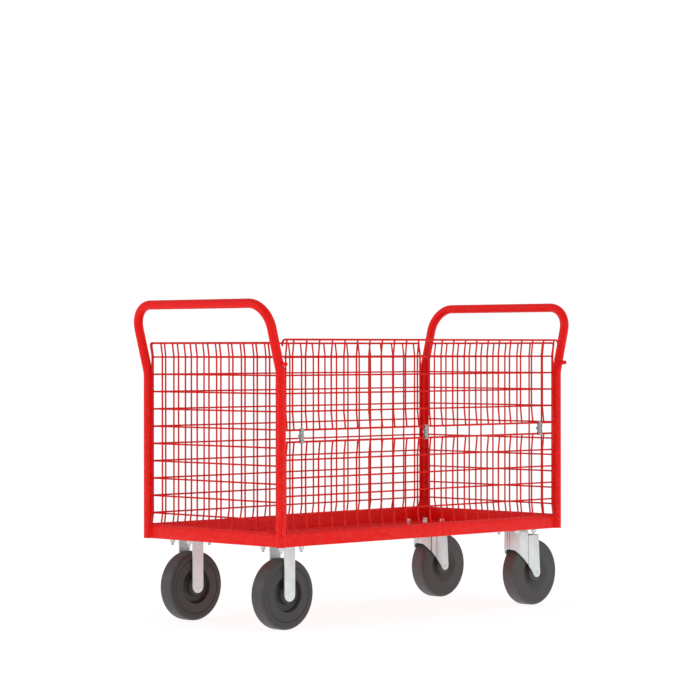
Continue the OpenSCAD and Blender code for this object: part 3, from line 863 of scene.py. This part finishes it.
def fold_strip(bm, middle, y, points):
    """A strip as wide as a clip that follows the outline."""
    half = sizes().clip_width / 2
    ends = [bmesh.ops.create_vert(bm, co=(middle + reach, y + points[0][0], points[0][1]))["vert"][0]
            for reach in (-half, half)]
    edge = bm.edges.new(ends)
    for before, after in zip(points, points[1:]):
        made = bmesh.ops.extrude_edge_only(bm, edges=[edge])["geom"]
        verts = [item for item in made if isinstance(item, bmesh.types.BMVert)]
        edge = next(item for item in made if isinstance(item, bmesh.types.BMEdge)
                    and all(vert in verts for vert in item.verts))
        bmesh.ops.translate(bm, verts=verts, vec=(0, after[0] - before[0], after[1] - before[1]))


def clip_places():
    """Where the three clips are along the truck."""
    half = sizes().clip_width / 2
    first = low("clip_fronts").x + half
    return [first, first + CLIP_SPACING, high("clip_fronts").x - half]


def merge_in(bm, other):
    """Adds one bmesh to another and frees it."""
    mesh = bpy.data.meshes.new("scrap")
    other.to_mesh(mesh)
    other.free()
    bm.from_mesh(mesh)
    bpy.data.meshes.remove(mesh)


def bolt_places():
    """Where the castor bolts stand on the deck."""
    centres = [JOINTS[name] for name in ("spin_left_front", "spin_left_back", "swivel_front", "swivel_back")]
    return [Vector((centre.x + x * BOLT_X, centre.y + y * BOLT_Y, 0))
            for centre in centres for x in (-1, 1) for y in (-1, 1)]


def build_fixings():
    """Bolts, washers and nuts that hold the castors."""
    radius = sizes().bolt_across / 2
    deck = high("deck_plate").z
    tip = low("castor_bolts").z
    thread, turns = 15 * MM, 18
    bm = bmesh.new()
    for k, place in enumerate(bolt_places()):
        spot = Vector((place.x, place.y, deck + 0.05 * MM))
        hexagon(bm, spot, radius, 4.5 * MM, washer=0.8 * MM, turn=k * 0.7)
        heights = [deck] + [tip + thread * (1 - j / turns) for j in range(turns)] + [tip]
        widths = [1.0] + [1.0 if j % 2 else 0.88 for j in range(turns)] + [0.7]
        sweep(bm, [Vector((place.x, place.y, z)) for z in heights], BOLT_SHANK, sides=12, widths=widths)
    metal("castor_hex_bolts", bm, "zinc_plate", "chassis", "castor_bolts")
    bm = bmesh.new()
    lo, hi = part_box("castor_washers")
    for place in bolt_places():
        flat_washer(bm, Vector((place.x, place.y, lo.z)), BOLT_SHANK + 0.3 * MM, 2 * BOLT_SHANK, hi.z - lo.z)
    metal("castor_flat_washers", bm, "zinc_plate", "chassis", "castor_washers")
    bm = bmesh.new()
    lo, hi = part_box("castor_nuts")
    for k, place in enumerate(bolt_places()):
        hexagon(bm, Vector((place.x, place.y, hi.z)), radius, hi.z - lo.z, top=-1, turn=k * 1.1)
    metal("castor_hex_nuts", bm, "zinc_plate", "chassis", "castor_nuts")


def flat_washer(bm, foot, inner, outer, height):
    """A flat washer with its edges eased."""
    ease = min(0.3 * MM, height / 4)
    ring = [(inner, 0), (outer - ease, 0), (outer, ease), (outer, height - ease), (outer - ease, height),
            (inner, height), (inner, 0)]
    lathe(bm, ring, foot, axis=(0, 0, 1), steps=24)


def build_fixed_castors():
    """Fixed forks with their axles and spacers."""
    edge = sizes().soft_edge
    for side in ("front", "back"):
        bm = cad_copy("fixed_fork_" + side)
        plate_z = high("fixed_fork_" + side).z - PLATE_WALL

        def root(item):
            return all(abs(vert.co.z - plate_z) < 0.2 * MM for vert in item.verts)

        soften(bm, edge, keep=lambda item: not root(item))
        centre = JOINTS["spin_left_" + side]
        for y in (-FORK_OUTSIDE, FORK_OUTSIDE):
            ends = [Vector((centre.x + x * 17 * MM, centre.y + y, plate_z - 0.4 * MM)) for x in (-1, 1)]
            weld_bead(bm, ends, 1.6 * MM)
        metal("fixed_castor_fork_" + side, bm, "zinc_plate", "chassis", "fixed_fork_" + side)
    axle_set("fixed", ("left_front", "left_back"), "chassis", ("fixed_axles", "fixed_spacers"))


def axle_set(prefix, wheels, body, nodes):
    """Axles with riveted ends, and the tubes that keep the forks apart."""
    groove = (1.6 if prefix.startswith("swivel") else 0.1) * MM
    end = [(0, 0.1 * MM), (3.4 * MM, 0.1 * MM), (3.6 * MM, groove), (4.7 * MM, groove), (4.9 * MM, 0),
           (AXLE_RADIUS, 0)]
    rivet = [(r, y - FORK_OUTSIDE) for r, y in end] + [(r, FORK_OUTSIDE - y) for r, y in reversed(end)]
    sleeve = eased_tube(AXLE_RADIUS + 0.05 * MM, SLEEVE_RADIUS, SLEEVE_HALF, 0.4 * MM)
    rods, sleeves = bmesh.new(), bmesh.new()
    for wheel in wheels:
        centre = JOINTS["spin_" + wheel]
        lathe(rods, rivet, centre, steps=32)
        lathe(sleeves, sleeve, centre, steps=32)
    metal(prefix + "_axle_rods", rods, "zinc_plate", body, nodes[0])
    metal(prefix + "_axle_sleeves", sleeves, "turned_steel", body, nodes[1])


def eased_tube(inner, outer, half, ease):
    """Half-section of a short tube whose outer edges are eased."""
    return [(inner, -half), (outer - ease, -half), (outer, -half + ease), (outer, half - ease),
            (outer - ease, half), (inner, half), (inner, -half)]


def build_swivel_castors():
    """Swivel forks with a pressed skirt, their races, rivets and axles."""
    edge = sizes().soft_edge
    for side in ("front", "back"):
        post = JOINTS["swivel_" + side]
        crown = high("swivel_fork_" + side).z - SWIVEL_HEAD
        bm = cad_copy("swivel_fork_" + side)

        def on_crown(item):
            middle = (item.verts[0].co + item.verts[1].co) / 2
            away = (Vector((middle.x, middle.y)) - Vector((post.x, post.y))).length
            return all(abs(vert.co.z - crown) < 0.2 * MM for vert in item.verts) and (
                away > SKIRT_RADIUS + 0.5 * MM or abs(middle.y - post.y) > FORK_OUTSIDE - 0.5 * MM)

        swage(bm, post, crown)
        soften(bm, 1.6 * MM, keep=on_crown, segments=4)
        soften(bm, edge, angle=40.0, keep=lambda item: item.calc_length() > 0.8 * MM)
        finished("swivel_castor_fork_" + side, bm, zinc_plate("zinc_fork_" + side, post), "swivel_" + side,
                 "zinc", "swivel_fork_" + side)
        bm = cad_copy("swivel_plate_" + side)
        soften(bm, edge)
        metal("swivel_top_plate_" + side, bm, "zinc_plate", "chassis", "swivel_plate_" + side)
        axle_set("swivel_" + side, ("right_" + side,), "swivel_" + side,
                 ("swivel_axle_" + side, "swivel_spacer_" + side))
    lo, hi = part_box("kingpins")
    tall, head = hi.z - lo.z, 5 * MM
    corners = [(0, 0.0), (RIVET_HEAD, 0.0), (RIVET_HEAD, head), (RIVET_RADIUS, head),
               (RIVET_RADIUS, tall), (0, tall)]
    profile = outline(corners, [3.5 * MM, 0.6 * MM, 0.4 * MM, 0.5 * MM], steps=5)
    rivets, balls = bmesh.new(), bmesh.new()
    for side in ("front", "back"):
        post = JOINTS["swivel_" + side]
        lathe(rivets, profile, Vector((post.x, post.y, lo.z)), axis=(0, 0, 1), steps=40)
        for k in range(BALLS):
            a = 2 * pi * k / BALLS
            spot = (post.x + RACE_RADIUS * cos(a), post.y + RACE_RADIUS * sin(a), RACE_HEIGHT)
            bmesh.ops.create_uvsphere(balls, u_segments=14, v_segments=10, radius=BALL_RADIUS,
                                      matrix=Matrix.Translation(spot))
    metal("swivel_rivets", rivets, "zinc_plate", "chassis", "kingpins")
    metal("race_balls", balls, "turned_steel", "chassis", "swivel_balls")


def swage(bm, post, crown):
    """Steps the legs out behind a pressed fold line, and the skirt's middle out at its front."""
    fold, step = post.x + 20 * MM, 0.7 * MM
    for x in (fold, fold + 1.4 * MM):
        cut(bm, Vector((x, 0, 0)), Vector((1, 0, 0)))
    for vert in bm.verts:
        rear = vert.co.x > fold + 0.7 * MM
        if rear and abs(vert.co.y - post.y) > 26 * MM and vert.co.z < crown + 0.2 * MM:
            vert.co.y += step if vert.co.y > post.y else -step
    for a in (-9, -6, 6, 9):
        cut(bm, post, Vector((sin(radians(a)), cos(radians(a)), 0)),
            only=lambda face: face.calc_center_median().x < post.x)
    for vert in bm.verts:
        flat = Vector((vert.co.x - post.x, vert.co.y - post.y))
        if flat.x < -30 * MM and vert.co.z < crown - 1 * MM:
            angle = abs(atan2(flat.y, -flat.x))
            if angle < radians(7):
                vert.co.x -= 0.55 * MM


def cut(bm, place, normal, only=lambda face: True):
    """Adds edges where a plane crosses the mesh."""
    faces = [face for face in bm.faces if only(face)]
    geometry = list({item for face in faces for item in (*face.verts, *face.edges, face)})
    bmesh.ops.bisect_plane(bm, geom=geometry, dist=0.001 * MM, plane_co=place, plane_no=normal)


def build_wheels():
    """Tyres, wheel centres and bushes, turned about each axle.

    The swivel castors' wheels are painted a little paler, as painted light falling more on that side, and
    have a plainer face.
    """
    s = sizes()
    rubber_shade, core_shade = tuple(colours().rubber), tuple(colours().core)
    for wheel in ("left_front", "left_back", "right_front", "right_back"):
        centre, body = JOINTS["spin_" + wheel], "wheel_" + wheel
        span = high("tyre_" + wheel) - low("tyre_" + wheel)
        outer, half = span.z / 2, span.y / 2
        swivels = wheel.startswith("right")
        # The right-hand wheels' rubber and centres are painted paler: painted light on that side.
        painted_light_lift = 1.35 if swivels else 1.05
        rubber = wheel_stuff("rubber_" + wheel, centre, shade(rubber_shade, painted_light_lift), 1.0, 0.44)
        core = wheel_stuff("core_" + wheel, centre, shade(core_shade, painted_light_lift), 0.0, 0.40)
        bm = bmesh.new()
        lathe(bm, tyre_profile(s, outer, half, swivels), centre, steps=128)
        finished("rubber_tyre_" + wheel, bm, rubber, body, "tyre_rubber", "tyre_" + wheel, angle=40.0)
        bm = bmesh.new()
        lathe(bm, core_profile(s, half, swivels), centre, steps=112)
        finished("wheel_centre_" + wheel, bm, core, body, "wheel_plastic", "wheel_" + wheel, angle=40.0)
        bm = bmesh.new()
        lathe(bm, eased_tube(BUSH_BORE, BUSH_RADIUS, HUB_HALF, 0.5 * MM), centre, steps=40)
        metal("plain_bush_" + wheel, bm, "turned_steel", body, "bush_" + wheel)


def tyre_profile(s, outer, half, plain):
    """Half-section of the tyre: slightly crowned tread, round shoulders, a lip where the centre starts."""
    lip = 0.5 * MM if plain else 1.2 * MM
    side = [(s.rim + 0.05 * MM, half - 2.6 * MM), (s.rim + 0.6 * MM, half - lip),
            (s.rim + 2.6 * MM, half - 0.3 * lip), (s.rim + 6 * MM, half), (outer - s.shoulder, half)]
    arc = [(outer - s.shoulder + s.shoulder * sin(a), half - s.shoulder + s.shoulder * cos(a))
           for a in (pi / 2 * k / 10 for k in range(1, 11))]
    right = side + arc
    left = [(r, -y) for r, y in reversed(right)]
    return right + left + [right[0]]


def core_profile(s, half, plain):
    """Half-section of the centre: rim face, dished web, hub with a step.

    The swivel castors' wheels have a plain face that slopes gently to the hub.
    """
    step = HUB_HALF - 1.2 * MM
    corners = [(BUSH_RADIUS + 0.05 * MM, HUB_HALF), (20 * MM, HUB_HALF), (20.6 * MM, step),
               (s.hub - 1.5 * MM, step)]
    radii = [0.4 * MM, 0.3 * MM, 1.2 * MM]
    if plain:
        face = half - 0.3 * MM
        corners += [(s.hub + 0.5 * MM, 12 * MM), (32 * MM, 13 * MM), (s.dish + 3 * MM, face),
                    (s.rim - 1.5 * MM, face), (s.rim, face - 0.4 * MM)]
        radii += [1.5 * MM, 2 * MM, 9 * MM, 0.3 * MM]
    else:
        face, web = half - 1 * MM, 9 * MM
        corners += [(s.hub + 1.5 * MM, web), (s.dish - 3 * MM, web), (s.dish, face),
                    (s.rim - 1.5 * MM, face), (s.rim, face - 1.6 * MM)]
        radii += [5 * MM, 6 * MM, 1.8 * MM, 1.4 * MM]
    right = outline(corners, radii, steps=4)
    left = [(r, -y) for r, y in reversed(right)]
    return right + left + [right[0]]


def build_stage():
    """Pale floor, soft lights and the camera."""
    scene = bpy.context.scene
    bm = bmesh.new()
    bmesh.ops.create_grid(bm, x_segments=8, y_segments=8, size=30.0)
    mesh = bpy.data.meshes.new("studio_floor")
    bm.to_mesh(mesh)
    bm.free()
    mesh.materials.append(floor_paint())
    floor = bpy.data.objects.new("studio_floor", mesh)
    scene.collection.objects.link(floor)
    sun("left_light", (-1.0, 0.40, 0.34), 0.78)
    sun("front_light", (0.40, -1.0, 0.34), 0.66)
    softbox("strip_light", (-4.0, -4.0, 4.6), 1.8, 10.0)
    world = bpy.data.worlds.new("studio")
    world.use_nodes = True
    nodes, links = world.node_tree.nodes, world.node_tree.links
    nodes.clear()
    seen, lit = (nodes.new("ShaderNodeBackground") for _ in range(2))
    for sky, strength in ((seen, 1.05), (lit, 0.55)):
        sky.inputs["Color"].default_value = (1, 1, 1, 1)
        sky.inputs["Strength"].default_value = strength
    path, mix, out = (nodes.new(kind) for kind in (
        "ShaderNodeLightPath", "ShaderNodeMixShader", "ShaderNodeOutputWorld"))
    links.new(path.outputs["Is Camera Ray"], mix.inputs[0])
    links.new(lit.outputs[0], mix.inputs[1])
    links.new(seen.outputs[0], mix.inputs[2])
    links.new(mix.outputs[0], out.inputs["Surface"])
    scene.world = world
    scene.view_settings.view_transform = "Standard"
    lens = bpy.data.cameras.new("camera")
    lens.lens, lens.sensor_width = CAMERA_LENS, CAMERA_SENSOR
    lens.clip_end = 200.0
    camera = bpy.data.objects.new("camera", lens)
    camera.location = CAMERA_PLACE
    camera.rotation_euler = (
        radians(90 + CAMERA_TILT), radians(CAMERA_ROLL), radians(CAMERA_HEADING - 90))
    scene.collection.objects.link(camera)
    scene.camera = camera


def sun(name, source, power):
    """A wide soft sun that shines from a direction."""
    lamp = bpy.data.lights.new(name, "SUN")
    lamp.energy, lamp.angle = power, radians(50)
    holder = bpy.data.objects.new(name, lamp)
    holder.rotation_euler = (-Vector(source)).to_track_quat("-Z", "Y").to_euler()
    bpy.context.scene.collection.objects.link(holder)


def softbox(name, place, size, power):
    """A square soft light that looks at the middle of the truck."""
    lamp = bpy.data.lights.new(name, "AREA")
    lamp.shape, lamp.size, lamp.energy = "SQUARE", size, power
    holder = bpy.data.objects.new(name, lamp)
    holder.location = place
    look = Vector((0, 0, 0.45)) - Vector(place)
    holder.rotation_euler = look.to_track_quat("-Z", "Y").to_euler()
    bpy.context.scene.collection.objects.link(holder)


# ---------------------------------------------------------------- operators

class TRUCK_OT_stage(bpy.types.Operator):
    """Make the floor, lights and camera"""
    bl_idname = "truck.stage"
    bl_label = "Stage"

    def execute(self, context):
        build_stage()
        return {"FINISHED"}


class TRUCK_OT_tray(bpy.types.Operator):
    """Make the frame's four angles"""
    bl_idname = "truck.tray"
    bl_label = "Frame angles"

    def execute(self, context):
        build_tray()
        return {"FINISHED"}


class TRUCK_OT_deck(bpy.types.Operator):
    """Make the load sheet, bars and castor pads"""
    bl_idname = "truck.deck"
    bl_label = "Deck"

    def execute(self, context):
        build_deck()
        return {"FINISHED"}


class TRUCK_OT_handles(bpy.types.Operator):
    """Make both handles and the gate pegs"""
    bl_idname = "truck.handles"
    bl_label = "Handles"

    def execute(self, context):
        build_handles()
        return {"FINISHED"}


class TRUCK_OT_panels(bpy.types.Operator):
    """Make the fixed wire panels"""
    bl_idname = "truck.panels"
    bl_label = "Wire panels"

    def execute(self, context):
        build_panels()
        return {"FINISHED"}


class TRUCK_OT_gate(bpy.types.Operator):
    """Make the fold-down gate"""
    bl_idname = "truck.gate"
    bl_label = "Gate"

    def execute(self, context):
        build_gate()
        return {"FINISHED"}


class TRUCK_OT_clips(bpy.types.Operator):
    """Make the clips that hinge the gate"""
    bl_idname = "truck.clips"
    bl_label = "Gate clips"

    def execute(self, context):
        build_clips()
        return {"FINISHED"}


class TRUCK_OT_fixings(bpy.types.Operator):
    """Make the castor bolts, washers and nuts"""
    bl_idname = "truck.fixings"
    bl_label = "Castor fixings"

    def execute(self, context):
        build_fixings()
        return {"FINISHED"}


class TRUCK_OT_fixed_castors(bpy.types.Operator):
    """Make the fixed castors' forks and axles"""
    bl_idname = "truck.fixed_castors"
    bl_label = "Fixed castors"

    def execute(self, context):
        build_fixed_castors()
        return {"FINISHED"}


class TRUCK_OT_swivel_castors(bpy.types.Operator):
    """Make the swivel castors' forks, races and axles"""
    bl_idname = "truck.swivel_castors"
    bl_label = "Swivel castors"

    def execute(self, context):
        build_swivel_castors()
        return {"FINISHED"}


class TRUCK_OT_wheels(bpy.types.Operator):
    """Make the wheels"""
    bl_idname = "truck.wheels"
    bl_label = "Wheels"

    def execute(self, context):
        build_wheels()
        return {"FINISHED"}


OPERATORS = (TRUCK_OT_stage, TRUCK_OT_tray, TRUCK_OT_deck, TRUCK_OT_handles, TRUCK_OT_panels,
             TRUCK_OT_gate, TRUCK_OT_clips, TRUCK_OT_fixings, TRUCK_OT_fixed_castors,
             TRUCK_OT_swivel_castors, TRUCK_OT_wheels)


class TRUCK_PT_panel(bpy.types.Panel):
    """Lists the truck's pieces and sizes"""
    bl_idname = "TRUCK_PT_panel"
    bl_label = "Platform truck"
    bl_space_type = "VIEW_3D"
    bl_region_type = "UI"
    bl_category = "Truck"

    def draw(self, context):
        for group in (context.scene.truck_sizes, context.scene.truck_colours):
            for name in group.__annotations__:
                self.layout.prop(group, name)
        for operator in OPERATORS:
            self.layout.operator(operator.bl_idname)


CLASSES = (TruckSizes, TruckColours, *OPERATORS, TRUCK_PT_panel)


def register():
    for item in CLASSES:
        bpy.utils.register_class(item)
    bpy.types.Scene.truck_sizes = bpy.props.PointerProperty(type=TruckSizes)
    bpy.types.Scene.truck_colours = bpy.props.PointerProperty(type=TruckColours)


def unregister():
    del bpy.types.Scene.truck_colours
    del bpy.types.Scene.truck_sizes
    for item in reversed(CLASSES):
        bpy.utils.unregister_class(item)


def main():
    register()
    for operator in OPERATORS:
        getattr(bpy.ops.truck, operator.bl_idname.split(".")[1])()


if __name__ == "__main__":
    main()
